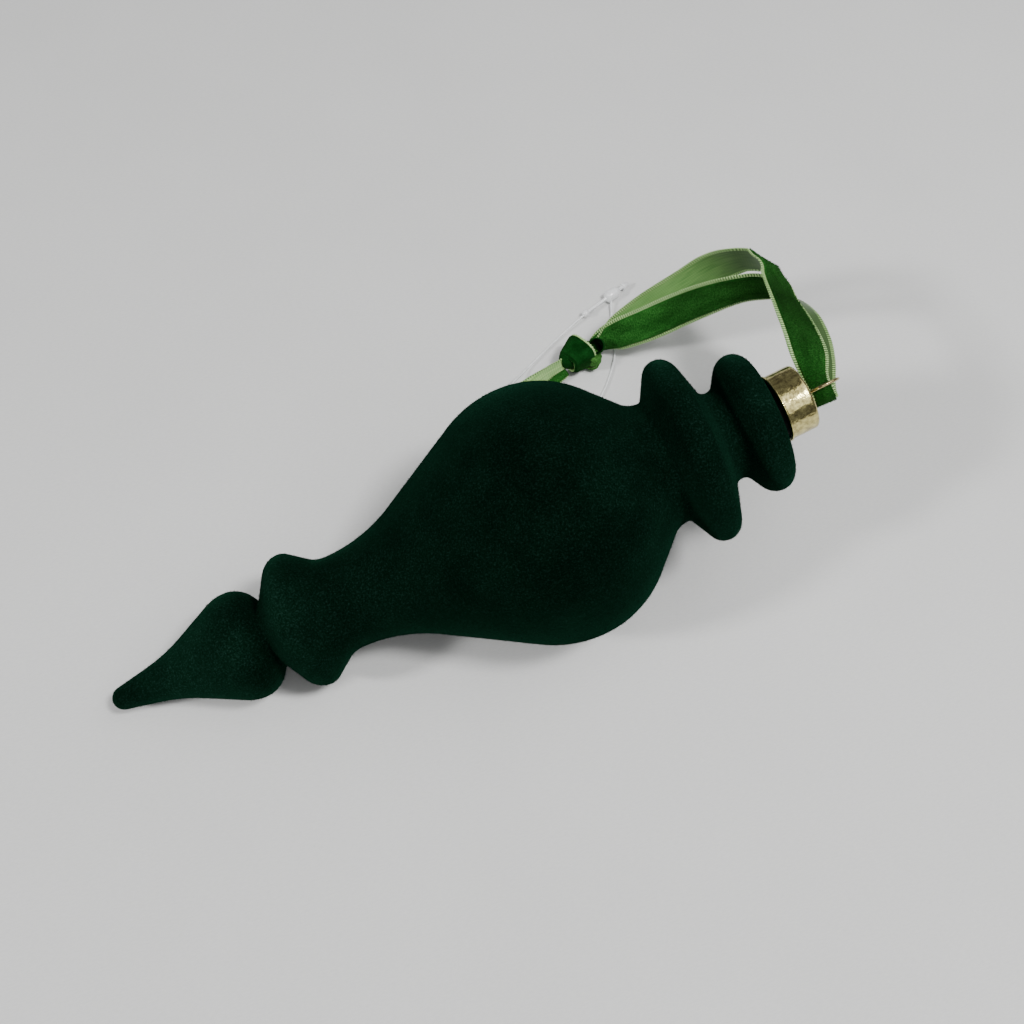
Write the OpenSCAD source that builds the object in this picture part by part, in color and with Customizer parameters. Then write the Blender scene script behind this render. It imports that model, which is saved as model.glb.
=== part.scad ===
// Finial ornament lying on its bulb and its drop point. A hollow turned shell wears a flock coat,
// and a sprung wire eye holds a sheet-metal cap on the neck. A velvet ribbon is folded through the
// eye and tied in an overhand knot, and a clear tag loop is looped round it.
// Millimetres, +Z up, +X from the point to the cap, origin under the middle of the rigid parts.

/* [Turned profile radii] */
// Radius of the rounded point
tip_r = 2.8; // [2.6:0.1:3]
// Widest radius of the drop above the point
drop_r = 12.9; // [12.6:0.1:13.2]
// Radius of the groove behind the drop
step_r = 8.2; // [8:0.1:8.6]
// Radius of the lower bead
bead_r = 16.1; // [15.8:0.1:16.4]
// Radius of the waist below the bulb
waist_r = 11.2; // [10.9:0.1:11.5]
// Widest radius of the bulb
bulb_r = 30.3; // [30:0.1:30.6]
// Radius of the groove behind the bulb
collar_r = 14.5; // [14.2:0.1:14.8]
// Radius of the large disc
disc_r = 22; // [21.7:0.1:22.3]
// Radius of the gorge between the two discs
gorge_r = 10.5; // [10.2:0.1:10.8]
// Radius of the small disc under the neck
crown_r = 16.5; // [16.2:0.1:16.8]

/* [Turned profile stations] */
// Widest place of the drop, from the point
drop_at = 33.6; // [33.4:0.1:33.8]
// Groove behind the drop
step_at = 40.6; // [40.5:0.1:40.8]
// Crest of the lower bead
bead_at = 48.8; // [48.6:0.1:49]
// Waist
waist_at = 58.8; // [58.6:0.1:59]
// Widest place of the bulb
bulb_at = 109.8; // [109.6:0.1:110]
// Groove behind the bulb
collar_at = 138; // [137.9:0.1:138.2]
// Crest of the large disc
disc_at = 144.9; // [144.7:0.1:145.1]
// Gorge
gorge_at = 153; // [152.8:0.1:153.2]
// Crest of the small disc
crown_at = 160.4; // [160.2:0.1:160.6]
// Root of the neck
neck_at = 165.2; // [165.1:0.1:165.4]

/* [Shell] */
// Wall of the hollow shell
wall = 1.4; // [1.2:0.1:1.5]
// Depth of the flock coat
flock_t = 0.6; // [0.4:0.1:0.6]
// Outer radius of the bare neck
neck_r = 6; // [5.9:0.05:6]
// Length of the bare neck
neck_h = 7.2; // [7:0.1:7.2]

/* [Cap and wire eye] */
// Height of the cap
cap_h = 7.1; // [6.8:0.1:7.2]
// Inner radius of the cap, which sits loosely on the neck
cap_bore_r = 7.4; // [7.35:0.05:7.5]
// How far the cap sits off the neck's middle
cap_shift = 1.25; // [0:0.05:1.25]
// How far the cap leans
cap_lean = 3; // [0:0.5:3]
// Thickness of the cap's sheet
cap_sheet = 0.35; // [0.3:0.05:0.4]
// Radius of the hole that the wire passes
cap_hole_r = 1; // [0.9:0.05:1.1]
// Diameter of the spring wire
wire_d = 0.7; // [0.6:0.05:0.7]
// Radius of the eye along the middle of the wire
eye_r = 3.8; // [3.8:0.05:3.9]
// Turn of the eye about the ornament's axis
eye_roll = 25; // [20:1:30]
// Angle at which the sprung legs part
leg_spread = 15; // [12:1:15]

/* [Ribbon] */
// Width of the ribbon
ribbon_w = 9.5; // [9:0.1:9.5]
// Thickness of the ribbon with its pile
ribbon_t = 0.8; // [0.6:0.1:0.8]

/* [Tag loop] */
// Diameter of the clear thread
thread_d = 0.6; // [0.5:0.05:0.7]

/* [Hidden] */
$fn = 96;
arc_step = 8;

// Each turn of the profile is a crest (1) or a groove (-1): station, radius there, radius of its
// round before and after that station, and its kind. Neighbours are joined by their common tangent.
stem_groove = [2, 3.5, 43, 43, -1];
TURNS = [
    [tip_r, tip_r, tip_r, tip_r, 1],
    stem_groove,
    [drop_at, drop_r, 9.5, 6.2, 1],
    [step_at, step_r, 1, 1, -1],
    [bead_at, bead_r, 4.6, 2.8, 1],
    [waist_at, waist_r, 7.5, 37, -1],
    [bulb_at, bulb_r, 27.5, 25, 1],
    [collar_at, collar_r, 5.5, 1.2, -1],
    [disc_at, disc_r, 3.6, 3.7, 1],
    [gorge_at, gorge_r, 2.3, 2.5, -1],
    [crown_at, crown_r, 4.1, 3.6, 1],
    [neck_at, neck_r + flock_t, 1, 1, -1]];
drop_turn = TURNS[2];
bulb_turn = TURNS[6];

// The profile moved inwards by a depth: crests get tighter and grooves get wider round the same centres.
function inset_turn(t, depth) = [t[0], t[1] - depth, t[2] - t[4] * depth, t[3] - t[4] * depth, t[4]];
function round_centre(t, rho) = [t[0], t[1] - t[4] * rho];
function flank_angle(t, u) =
    let (a = round_centre(t, t[3]), b = round_centre(u, u[2]))
    atan2(b.y - a.y, b.x - a.x) + t[4] * acos((t[3] + u[2]) / norm(b - a));
function arc(centre, rho, from, to, step = arc_step) =
    let (n = max(1, ceil(abs(to - from) / step)))
    [for (k = [0:n]) let (a = from + (to - from) * k / n) centre + rho * [cos(a), sin(a)]];
function without_first(points) = [for (i = [1:len(points) - 1]) points[i]];
function turn_points(t, from, to) =
    t[2] == t[3]
        ? arc(round_centre(t, t[2]), t[2], from, to)
        : concat(arc(round_centre(t, t[2]), t[2], from, 90 * t[4]),
                 without_first(arc(round_centre(t, t[3]), t[3], 90 * t[4], to)));
function profile(depth) =
    let (ts = [for (t = TURNS) inset_turn(t, depth)],
         last = len(ts) - 1,
         flank = [for (i = [0:last - 1]) flank_angle(ts[i], ts[i + 1])])
    [for (i = [0:last])
        let (from = i == 0 ? 180 : flank[i - 1] + 180 * ts[i][4],
             to = i == last ? -90 : flank[i])
        each turn_points(ts[i], from, to)];
function reversed(points) = [for (i = [len(points) - 1:-1:0]) points[i]];
// Stations run up the revolve's axis and radii away from it.
function upright(points) = [for (p = points) [p.y, p.x]];

// The ornament lies on its drop and its bulb, so the tilt is that of their common tangent.
drop_centre = round_centre(drop_turn, drop_turn[2]);
bulb_centre = round_centre(bulb_turn, bulb_turn[2]);
rest_step = bulb_centre - drop_centre;
tilt = atan2(rest_step.y, rest_step.x) + asin((bulb_turn[2] - drop_turn[2]) / norm(rest_step));
tip_z = bulb_turn[2] + bulb_centre.y * cos(tilt) - bulb_centre.x * sin(tilt);

// Cap and wire eye, measured along the axis from the point
neck_top = neck_at + neck_h;
neck_edge = 0.4;
seat_gap = neck_r * sin(cap_lean) + 0.1;
cap_top = neck_top + seat_gap + cap_sheet;
cap_wall_r = cap_bore_r + cap_sheet;
cap_edge_r = 0.9;
cap_bead_r = 0.3;
wire_r = wire_d / 2;
eye_rise = 4.7;
leg_offset = 0.42;
pinch_r = 0.9;
hole_run = 0.6;
leg_bend_r = 1.2;
leg_length = 9;
joint_gap = 0.06;
wire_joint_r = 1.04 * wire_r;
pinch_x = leg_offset + pinch_r;
pinch_z = eye_rise - sqrt(pow(eye_r + pinch_r, 2) - pow(pinch_x, 2));
pinch_angle = atan2(pinch_z - eye_rise, pinch_x);

// The origin lies under the middle of the rigid parts.
eye_along_x = cos(cap_lean) * cos(tilt);
eye_side_x = cos(eye_roll) * sin(tilt) - sin(eye_roll) * sin(cap_lean) * cos(tilt);
eye_reach = eye_r * norm([eye_along_x, eye_side_x]) + wire_r;
x_high = cap_top * cos(tilt) + eye_rise * eye_along_x + eye_reach;
x_low = tip_r * cos(tilt) - tip_r;
x_mid = (x_high + x_low) / 2;

// Ribbon stations: middle of the band, direction across it, and its width as a share of the ribbon's.
// From the knot along the near strand, back through the eye and along the far strand to the knot.
RIBBON = [
    [53.6, 56.2, 5.0, 0.00, 0.45, 0.89, 0.68],
    [59.0, 56.3, 7.4, 0.00, 0.46, 0.89, 0.92],
    [67.0, 52.8, 14.2, 0.10, 0.56, 0.82, 1],
    [75.8, 48.3, 23.3, 0.03, 0.38, 0.92, 1],
    [83.7, 43.2, 31.5, -0.14, 0.19, 0.97, 1],
    [90.0, 38.6, 35.8, -0.30, 0.20, 0.93, 1],
    [94.0, 33.0, 37.4, -0.70, 0.02, 0.71, 1],
    [93.6, 26.0, 39.0, -0.92, -0.04, 0.38, 1],
    [91.8, 18.0, 40.2, -0.97, 0.08, 0.21, 1],
    [89.2, 11.0, 40.9, -0.99, 0.00, 0.05, 0.94],
    [87.0, 5.6, 41.0, -0.98, 0.00, -0.15, 0.80],
    [86.1, 2.8, 41.0, -0.97, 0.00, -0.23, 0.74],
    [85.8, 1.1, 41.1, -0.97, 0.00, -0.23, 0.70],
    [85.4, -0.4, 41.8, -0.97, 0.00, -0.23, 0.66],
    [84.9, -0.9, 43.2, -0.97, 0.00, -0.23, 0.62],
    [84.5, -0.4, 44.6, -0.97, 0.00, -0.23, 0.59],
    [84.4, 1.1, 45.3, -0.97, 0.00, -0.23, 0.58],
    [84.3, 2.8, 45.4, -0.97, 0.00, -0.23, 0.57],
    [84.8, 5.8, 45.3, -0.98, 0.00, -0.15, 0.68],
    [86.5, 11.4, 45.0, -0.99, -0.02, 0.05, 0.94],
    [87.8, 17.4, 44.6, -0.97, 0.04, 0.22, 1],
    [88.6, 23.4, 44.2, -0.93, -0.03, 0.36, 1],
    [89.6, 30.2, 43.2, -0.82, -0.20, 0.52, 1],
    [91.4, 37.0, 41.3, -0.78, -0.25, 0.57, 1],
    [91.7, 41.8, 40.9, -0.62, -0.33, 0.71, 1],
    [91.1, 45.9, 37.9, -0.29, -0.06, 0.95, 1],
    [87.7, 49.2, 35.6, -0.25, 0.09, 0.96, 1],
    [83.4, 52.6, 30.4, -0.11, 0.26, 0.96, 1],
    [78.4, 55.0, 24.0, -0.09, 0.29, 0.95, 1],
    [69.0, 57.6, 14.2, -0.03, 0.36, 0.93, 1],
    [60.0, 58.6, 7.6, -0.02, 0.30, 0.95, 0.92],
    [53.8, 57.8, 5.0, 0.00, 0.30, 0.95, 0.68]];
TAIL_UPPER = [
    [44.4, 54.8, 4.6, 0.10, 0.40, 0.91, 0.40],
    [39.6, 53.7, 3.9, 0.10, 0.45, 0.89, 0.42],
    [34.6, 51.5, 3.6, 0.10, 0.70, 0.70, 0.56],
    [28.0, 48.2, 2.2, -0.30, 0.95, 0.05, 0.80],
    [22.4, 44.8, 2.0, -0.40, 0.91, 0.05, 0.95]];
TAIL_LOWER = [
    [44.6, 54.0, 3.0, 0.10, 0.60, 0.80, 0.36],
    [39.4, 51.8, 2.3, 0.10, 0.70, 0.70, 0.40],
    [34.0, 48.2, 1.8, 0.10, 0.90, 0.40, 0.56],
    [28.6, 44.0, 0.9, -0.40, 0.91, 0.03, 0.80],
    [24.6, 40.6, 0.8, -0.50, 0.86, 0.00, 0.95]];
band_steps = 2;
tail_steps = 4;

// Knot: a core along the ribbon, one flat wrap laid over it and a lobe where the wrap turns under
knot_at = [49.2, 55.9, 4.9];
knot_heading = 9;
knot_half = 5.2;
knot_core_r = 3.4;
wrap_r = 4.7;
wrap_half = 2.8;
wrap_lean = 19;
wrap_shift = -0.6;
wrap_round = 0.8;
lobe_at = [3.4, -2.9, -1.6];
lobe_r = 2.7;

// Tag loop: the thread's route from the socket round to the bead, and the lock on its axis
THREAD = [
    [65.9, 72.6, 1.4], [65.0, 70.4, 1.0], [63.4, 66.0, 0.6], [61.8, 61.0, 0.5], [60.4, 56.4, 0.5],
    [56.8, 50.4, 0.5], [51.6, 44.2, 0.5], [46.0, 39.4, 0.5], [39.0, 36.0, 0.5], [33.0, 35.6, 0.7],
    [28.0, 36.6, 2.4], [24.2, 41.4, 3.8], [24.8, 47.8, 4.4], [29.2, 54.0, 3.2], [34.0, 58.0, 1.2],
    [40.0, 61.8, 0.8], [47.0, 65.8, 0.8], [53.0, 68.8, 1.2], [56.6, 70.4, 1.6]];
thread_steps = 4;
thread_sides = 8;
lock_at = [57.2, 70.7, 1.7];
lock_heading = 21.5;
lock_bead_r = 1.05;
lock_rod_r = 0.5;
socket_at = 8;
socket_length = 5;
socket_r = 1.65;
barb_at = 14.4;
barb_length = 2.4;
barb_r = 1;

// Smooth curve through rows of numbers, and the frames of a band or a tube along it
function blend_rows(a, b, c, d, u) =
    0.5 * (2 * b + (c - a) * u + (2 * a - 5 * b + 4 * c - d) * u * u
           + (3 * b - a - 3 * c + d) * u * u * u);
function smooth_rows(rows, steps) =
    let (last = len(rows) - 1)
    [for (i = [0:last - 1]) for (k = [0:steps - 1])
        blend_rows(rows[max(i - 1, 0)], rows[i], rows[i + 1], rows[min(i + 2, last)], k / steps),
     rows[last]];
function place(row) = [row[0], row[1], row[2]];
function unit(v) = v / norm(v);
function heading(rows, i) = unit(place(rows[min(i + 1, len(rows) - 1)]) - place(rows[max(i - 1, 0)]));
function across(row, along) =
    let (v = [row[3], row[4], row[5]])
    unit(v - along * (v * along));
function band_ring(rows, i, width, thickness) =
    let (along = heading(rows, i),
         side = across(rows[i], along) * width * rows[i][6] / 2,
         face = cross(along, unit(side)) * thickness / 2,
         p = place(rows[i]))
    [p + side + face, p - side + face, p - side - face, p + side - face];
function tube_ring(rows, i, radius, sides) =
    let (along = heading(rows, i),
         flat = unit(cross([0, 0, 1], along)),
         rise = cross(along, flat))
    [for (k = [0:sides - 1]) let (a = 360 * (k + 0.5) / sides)
        place(rows[i]) + radius * (flat * cos(a) + rise * sin(a))];

// A closed skin over rings of equal count
module skin(rings) {
    sides = len(rings[0]);
    last = len(rings) - 1;
    walls = [for (i = [0:last - 1]) for (k = [0:sides - 1])
        let (a = i * sides + k, b = i * sides + (k + 1) % sides)
        each [[a, b, b + sides], [a, b + sides, a + sides]]];
    near_end = [for (k = [1:sides - 2]) [0, k + 1, k]];
    far_end = [for (k = [1:sides - 2]) [last * sides, last * sides + k, last * sides + k + 1]];
    polyhedron(points = [for (ring = rings) each ring],
               faces = [for (f = concat(walls, near_end, far_end)) reversed(f)]);
}

module band(stations, steps) {
    rows = smooth_rows(stations, steps);
    skin([for (i = [0:len(rows) - 1]) band_ring(rows, i, ribbon_w, ribbon_t)]);
}

// Carries a shape on the upright axis to the ornament's resting axis, with its point at the left
module at_rest() {
    translate([-x_mid, 0, tip_z]) rotate([0, 90 - tilt, 0]) children();
}

// Carries a shape on the upright axis to the cap's own axis, with the top of the cap at zero
module on_neck() {
    at_rest() translate([0, cap_shift, cap_top]) rotate([-cap_lean, 0, 0]) children();
}

module blown_shell() {
    color("#14201c") at_rest() rotate_extrude() polygon(upright(concat(
        profile(flock_t), [[neck_top - neck_edge, neck_r], [neck_top, neck_r - neck_edge],
                           [neck_top, neck_r - wall]],
        reversed(profile(flock_t + wall)))));
}

module flock_coat() {
    color("#12332a") at_rest() rotate_extrude() polygon(upright(concat(
        profile(0), reversed(profile(flock_t)))));
}

module hanger_cap() {
    bead = [cap_wall_r, cap_h - cap_bead_r];
    edge = [cap_wall_r - cap_edge_r, cap_edge_r];
    color("#b9a04c") on_neck() mirror([0, 0, 1]) rotate_extrude()
        polygon(concat(
            [[cap_hole_r, 0]], arc(edge, cap_edge_r, -90, 0), arc(bead, cap_bead_r, -90, 90),
            [[cap_bore_r, cap_h]], reversed(arc(edge, cap_edge_r - cap_sheet, -90, 0)),
            [[cap_hole_r, cap_sheet]]));
}

// A bend of the wire, kept short of both ends so that a ball can join it to the next stretch
module wire_bend(centre, rho, from, sweep) {
    trim = joint_gap / rho * 180 / PI;
    translate([centre.x, 0, centre.y]) rotate([90, 0, 0]) rotate([0, 0, from + trim])
        rotate_extrude(angle = sweep - 2 * trim) translate([rho, 0]) circle(r = wire_r, $fn = 24);
}

module wire_joint(place) {
    translate([place.x, 0, place.y]) sphere(r = wire_joint_r, $fn = 24);
}

module wire_half() {
    eye_end = [0, eye_rise] + eye_r * [cos(pinch_angle), sin(pinch_angle)];
    leg_bend = [leg_offset + leg_bend_r, -hole_run];
    leg_top = leg_bend - leg_bend_r * [cos(leg_spread), sin(leg_spread)];
    wire_joint(eye_end);
    wire_bend([pinch_x, pinch_z], pinch_r, pinch_angle + 180, -pinch_angle);
    wire_joint([leg_offset, pinch_z]);
    translate([leg_offset, 0, joint_gap - hole_run])
        cylinder(r = wire_r, h = pinch_z + hole_run - 2 * joint_gap, $fn = 24);
    wire_joint([leg_offset, -hole_run]);
    wire_bend(leg_bend, leg_bend_r, 180, leg_spread);
    wire_joint(leg_top);
    translate([leg_top.x, 0, leg_top.y]) rotate([0, 180 - leg_spread, 0])
        translate([0, 0, joint_gap]) cylinder(r = wire_r, h = leg_length, $fn = 24);
}

module hanger_wire() {
    color("#c9b26a") on_neck() rotate([0, 0, eye_roll]) {
        wire_bend([0, eye_rise], eye_r, pinch_angle, 180 - 2 * pinch_angle);
        wire_half();
        mirror([1, 0, 0]) wire_half();
    }
}

module ribbon_loop() {
    color("#2f6b2a") band(RIBBON, band_steps);
}

module ribbon_knot() {
    core = [for (a = [-90:30:90]) [knot_core_r * cos(a), knot_half * sin(a)]];
    corner = [wrap_r - wrap_round, wrap_half - wrap_round];
    wrap = concat([[knot_core_r - 1.2, -wrap_half]], arc([corner.x, -corner.y], wrap_round, -90, 0, 45),
                  arc(corner, wrap_round, 0, 90, 45), [[knot_core_r - 1.2, wrap_half]]);
    color("#245a22") translate(knot_at) rotate([0, 0, knot_heading]) {
        rotate([0, 90, 0]) rotate_extrude() polygon(core);
        translate([wrap_shift, 0, 0]) rotate([0, 90, wrap_lean]) rotate_extrude() polygon(wrap);
        translate(lobe_at) sphere(r = lobe_r, $fn = 32);
    }
}

module ribbon_tails() {
    color("#7da653") {
        band(TAIL_UPPER, tail_steps);
        band(TAIL_LOWER, tail_steps);
    }
}

module tag_thread() {
    rows = smooth_rows(THREAD, thread_steps);
    color("#e6e9e6") skin([for (i = [0:len(rows) - 1]) tube_ring(rows, i, thread_d / 2, thread_sides)]);
}

module tag_lock() {
    color("#e6e9e6") translate(lock_at) rotate([0, 90, lock_heading]) {
        sphere(r = lock_bead_r, $fn = 48);
        cylinder(r = lock_rod_r, h = barb_at + 0.5, $fn = 32);
        translate([0, 0, socket_at]) rotate_extrude() polygon([
            [0, 0], [socket_r - 0.5, 0], [socket_r, 0.5], [socket_r, socket_length - 1.2],
            [socket_r - 0.8, socket_length], [0, socket_length]]);
        translate([0, 0, barb_at]) cylinder(r1 = barb_r, r2 = 0.25, h = barb_length, $fn = 32);
    }
}

blown_shell();
flock_coat();
hanger_cap();
hanger_wire();
ribbon_loop();
ribbon_knot();
ribbon_tails();
tag_thread();
tag_lock();
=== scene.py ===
"""Finial ornament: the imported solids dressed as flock, gilt sheet and wire, velvet ribbon and clear nylon."""

import logging
import math
from dataclasses import dataclass, replace
from enum import Enum
from typing import Iterable, Sequence

import bmesh
import bpy
import numpy as np
from mathutils import Matrix, Vector


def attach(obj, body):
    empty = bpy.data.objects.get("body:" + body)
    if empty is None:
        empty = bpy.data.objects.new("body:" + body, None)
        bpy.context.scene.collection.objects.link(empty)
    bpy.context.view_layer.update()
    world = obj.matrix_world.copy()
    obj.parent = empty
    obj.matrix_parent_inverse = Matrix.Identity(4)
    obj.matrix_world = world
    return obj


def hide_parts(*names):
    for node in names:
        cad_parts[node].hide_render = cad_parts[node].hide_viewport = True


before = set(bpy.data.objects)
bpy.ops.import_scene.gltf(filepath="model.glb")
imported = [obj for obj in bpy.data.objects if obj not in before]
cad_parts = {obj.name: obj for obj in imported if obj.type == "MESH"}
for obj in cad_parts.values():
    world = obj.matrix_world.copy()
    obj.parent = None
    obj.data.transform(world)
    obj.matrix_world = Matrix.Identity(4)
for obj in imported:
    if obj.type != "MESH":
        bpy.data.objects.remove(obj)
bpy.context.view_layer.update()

LOG = logging.getLogger("finial_ornament")
MM = 0.001
IMAGE_SIDE = 1024
WAVE_PERIOD = math.pi / 10
STATION = "station"
SENSOR_MM = 36.0
UP = np.array([0.0, 0.0, 1.0])
WELD = 0.002 * MM
ROOT_DEPTH = 0.15
SHORTEST_FIBRE = 0.5
FIBRE_SPREAD = 0.6
CURVE_STEPS = 40

Colour = tuple[float, float, float]
Point2 = tuple[float, float]
Piece = bpy.types.Object
Material = bpy.types.Material
Socket = bpy.types.NodeSocket
Feed = Socket | float | Sequence[float]


class Body(Enum):
    """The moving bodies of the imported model."""

    ORNAMENT = "ornament"
    CAP = "cap"
    HANGER = "hanger"
    RIBBON = "ribbon"


class Slot(Enum):
    """The record's material slots."""

    SHELL = "shell_plastic"
    FLOCK = "green_flock"
    CAP = "gold_cap"
    WIRE = "gold_wire"
    RIBBON = "velvet_ribbon"
    NYLON = "clear_nylon"


class Zone(Enum):
    """The parts of the ribbon's cross-section, in the order of its material slots."""

    PILE = 0
    SELVEDGE = 1
    SATIN = 2


class Coordinates(Enum):
    """What a pattern is laid out on."""

    OBJECT = "Object"
    UV = "UV"


# Materials


class NodeSheet:
    """One material's node tree, with short calls for adding and joining nodes."""

    def __init__(self, name: str) -> None:
        """Start a material with a principled shader.

        Args:
            name: The material's name.
        """
        self.material = bpy.data.materials.new(name)
        self.material.use_nodes = True
        self.tree = self.material.node_tree
        self.tree.nodes.clear()
        self.shader = self.node("BsdfPrincipled")
        self.node("OutputMaterial", Surface=self.shader.outputs["BSDF"])

    def feed(self, node: bpy.types.Node, **inputs: Feed) -> None:
        """Set a node's inputs.

        Args:
            node: The node.
            inputs: Socket names with underscores for spaces, and values or the sockets that they come from.
        """
        for name, value in inputs.items():
            socket = node.inputs[name.replace("_", " ")]
            if isinstance(value, Socket):
                self.tree.links.new(value, socket)
            elif isinstance(value, (int, float)):
                socket.default_value = value
            else:
                socket.default_value = (*value, 1.0)[: len(socket.default_value)]

    def node(self, kind: str, **inputs: Feed) -> bpy.types.Node:
        """Add a node.

        Args:
            kind: Its type.
            inputs: Its inputs, as for feed.

        Returns:
            The node.
        """
        node = self.tree.nodes.new(f"ShaderNode{kind}")
        self.feed(node, **inputs)
        return node

    def dress(self, **inputs: Feed) -> None:
        """Set the shader's own inputs."""
        self.feed(self.shader, **inputs)

    def coordinates(self, kind: Coordinates, scale: Sequence[float]) -> Socket:
        """Lay out a pattern on the piece.

        Args:
            kind: The coordinates that it follows.
            scale: The number of pattern cells for each unit along the three directions.

        Returns:
            The scaled coordinates.
        """
        place = self.node("TexCoord").outputs[kind.value]
        return self.node("Mapping", Vector=place, Scale=scale).outputs["Vector"]

    def attribute(self, name: str) -> Socket:
        """Read a number that the mesh carries.

        Args:
            name: The attribute's name.

        Returns:
            The number.
        """
        node = self.node("Attribute")
        node.attribute_name = name
        return node.outputs["Fac"]

    def noise(self, place: Socket, detail: float, roughness: float = 0.6) -> Socket:
        """Add a noise of one cell per unit.

        Args:
            place: The coordinates.
            detail: The number of finer layers.
            roughness: The strength of the finer layers.

        Returns:
            The noise's value.
        """
        node = self.node("TexNoise", Vector=place, Scale=1.0, Detail=detail, Roughness=roughness)
        return node.outputs["Fac"]

    def mottle(self, cell: float, detail: float, roughness: float = 0.6) -> Socket:
        """Add a noise in the piece's own space, with cells of a size in metres."""
        return self.noise(self.coordinates(Coordinates.OBJECT, (1 / cell,) * 3), detail, roughness)

    def weft(self, pitch: float) -> Socket:
        """Add straight waves along a ribbon.

        Args:
            pitch: The length of a wave in widths of the ribbon.

        Returns:
            The waves' value.
        """
        place = self.coordinates(Coordinates.UV, (0.0, WAVE_PERIOD / pitch, 1.0))
        node = self.node("TexWave", Vector=place, Scale=1.0)
        node.bands_direction = "Y"
        return node.outputs["Fac"]

    def ramp(self, value: Socket, *stops: tuple[float, Colour | float]) -> Socket:
        """Turn a value into a colour.

        Args:
            value: The value.
            stops: Positions and their colours or greys, from low to high.

        Returns:
            The colour.
        """
        node = self.node("ValToRGB", Fac=value)
        while len(node.color_ramp.elements) < len(stops):
            node.color_ramp.elements.new(0.5)
        for element, (position, tone) in zip(node.color_ramp.elements, stops):
            element.position = position
            element.color = (*(tone if isinstance(tone, tuple) else (tone,) * 3), 1.0)
        return node.outputs["Color"]

    def spread(self, value: Socket, low: float, high: float) -> Socket:
        """Map a value from 0..1 to another range."""
        return self.node("MapRange", Value=value, To_Min=low, To_Max=high).outputs["Result"]

    def tint(self, first: Socket, second: Socket) -> Socket:
        """Multiply one colour by another.

        Args:
            first: The colour.
            second: What it is multiplied by.

        Returns:
            The product.
        """
        node = self.node("MixRGB", Fac=1.0, Color1=first, Color2=second)
        node.blend_type = "MULTIPLY"
        return node.outputs["Color"]

    def paint_shading_along(self, colour: Socket, painted_shading: Sequence[Point2],
                      run: float) -> Socket:
        """Paint light and shade along the ribbon: multiply a colour by a ramp over its length.

        Args:
            colour: The colour.
            painted_shading: Shares of the length and how light the ribbon is painted there: painted light and
                shade.
            run: The length in widths of the ribbon.

        Returns:
            The shaded colour.
        """
        if not painted_shading:
            return colour
        parts = self.node("SeparateXYZ", Vector=self.coordinates(Coordinates.UV, (0.0, 1 / run, 1.0)))
        return self.tint(colour, self.ramp(parts.outputs["Y"], *painted_shading))

    def bump(self, height: Socket, strength: float, depth: float) -> None:
        """Raise the surface's shading.

        Args:
            height: The value that is raised.
            strength: The share that is used.
            depth: The height of a full value in metres.
        """
        node = self.node("Bump", Height=height, Strength=strength, Distance=depth)
        self.dress(Normal=node.outputs["Normal"])


class Finish:
    """A surface that can be made into a material."""

    def build(self, name: str) -> Material:
        """Make the material.

        Args:
            name: Its name.

        Returns:
            The material.
        """
        sheet = NodeSheet(name)
        self.lay_out(sheet)
        return sheet.material

    def lay_out(self, sheet: NodeSheet) -> None:
        """Add the nodes to a sheet, which each finish does in its own way."""
        raise NotImplementedError


@dataclass(frozen=True)
class FlockFinish(Finish):
    """Dense short flock: almost black face on, greener where the fibres are seen from the side. Its colour also
    carries painted light and shade along the axis: darkest over the bulb, darker in the grooves and on the
    tip-side flanks of disc and crown, lightest on drop, bead, disc and crown.
    """

    deep: Colour = (0.0010, 0.0070, 0.0034)
    middle: Colour = (0.0022, 0.0128, 0.0068)
    glint: Colour = (0.0110, 0.0320, 0.0230)
    rubbed: float = 0.6
    # Painted light and shade: stations along the axis in millimetres, and how light the flock is painted there.
    painted_shading: Sequence[Point2] = (
        (0.0, 0.95), (33.0, 1.0), (41.0, 0.8), (47.5, 1.0), (58.0, 0.66), (85.0, 0.55), (112.0, 0.55),
        (130.0, 0.78), (137.0, 0.66), (143.0, 0.80), (149.0, 1.0), (153.5, 1.0), (157.5, 0.78), (162.0, 1.0),
        (165.0, 0.9),
    )
    sheen: Colour = (0.05, 0.34, 0.18)
    sheen_weight: float = 0.085
    cell: float = 0.42 * MM
    patch: float = 13 * MM
    relief: float = 0.25 * MM

    def lay_out(self, sheet: NodeSheet) -> None:
        """Add the nodes.

        Args:
            sheet: The material's sheet.
        """
        grain = sheet.mottle(self.cell, 2.0, 0.7)
        patches = sheet.mottle(self.patch, 2.0)
        # The glint stop paints sparse pale specks into the grain: partly lint, partly painted highlights on
        # fibre ends.
        colour = sheet.ramp(grain, (0.34, self.deep), (0.54, self.middle), (0.74, self.glint))
        brushed = sheet.ramp(patches, (0.36, self.rubbed), (0.64, 1.0))
        # Painted light and shade: the station ramp darkens the bulb, the grooves and the tip-side flanks of
        # disc and crown.
        end = self.painted_shading[-1][0]
        painted_shading = sheet.ramp(sheet.attribute(STATION), *((station / end, level) for station, level in self.painted_shading))
        sheet.bump(grain, 0.7, self.relief)
        sheet.dress(Base_Color=sheet.tint(sheet.tint(colour, brushed), painted_shading), Roughness=0.95,
                    Specular_IOR_Level=0.0, Sheen_Weight=self.sheen_weight, Sheen_Roughness=0.5,
                    Sheen_Tint=self.sheen)


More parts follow.
